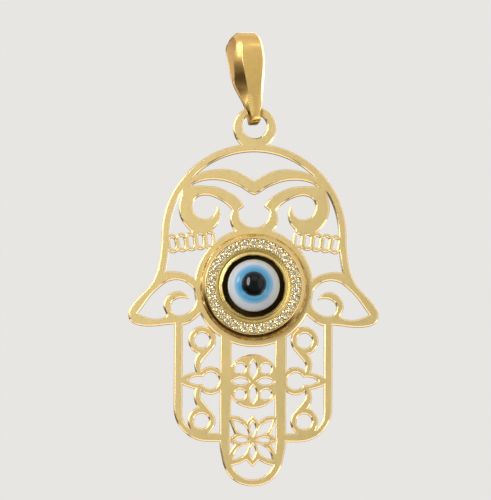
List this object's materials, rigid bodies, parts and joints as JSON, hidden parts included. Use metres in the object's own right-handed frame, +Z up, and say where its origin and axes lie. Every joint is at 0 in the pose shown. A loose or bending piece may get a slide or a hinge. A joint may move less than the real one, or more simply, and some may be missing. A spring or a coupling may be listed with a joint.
{
  "type": "hamsa pendant",
  "caption": "Pierced hand-shaped pendant with a stone-set evil-eye bead, swinging from a folded tapered bail that slides on a chain.",
  "frame": {"origin": "inside top of the bail, where a chain bears", "axes": "+Z up, -Y towards the front of the hand, +X to the right as the front is seen"},
  "size_m": [0.025, 0.0069, 0.0456],
  "materials": {
    "bail_gold": "polished yellow gold",
    "hand_gold": "satin yellow gold with polished edges",
    "white_glass": "glossy opaque white glass",
    "blue_glass": "glossy opaque light blue glass",
    "black_glass": "glossy opaque black glass",
    "stone": "clear, brilliant cut"
  },
  "bodies": {
    "bail": {"bail": "bail_gold"},
    "pendant": {"hand": "hand_gold", "eye_white": "white_glass", "eye_blue": "blue_glass", "eye_black": "black_glass", "stone_01": "stone", "stone_02": "stone", "stone_03": "stone", "stone_04": "stone", "stone_05": "stone", "stone_06": "stone", "stone_07": "stone", "stone_08": "stone", "stone_09": "stone", "stone_10": "stone", "stone_11": "stone", "stone_12": "stone", "stone_13": "stone", "stone_14": "stone", "stone_15": "stone", "stone_16": "stone", "stone_17": "stone", "stone_18": "stone", "stone_19": "stone", "stone_20": "stone", "stone_21": "stone", "stone_22": "stone", "stone_23": "stone", "stone_24": "stone", "stone_25": "stone", "stone_26": "stone", "stone_27": "stone", "stone_28": "stone", "stone_29": "stone", "stone_30": "stone"}
  },
  "joints": [
    {"name": "pendant_swing", "type": "hinge", "parent": "bail", "child": "pendant", "pos_m": [0.00059, 0, -0.00738], "axis": [1, 0, 0], "range_deg": [-90, 90]}
  ]
}
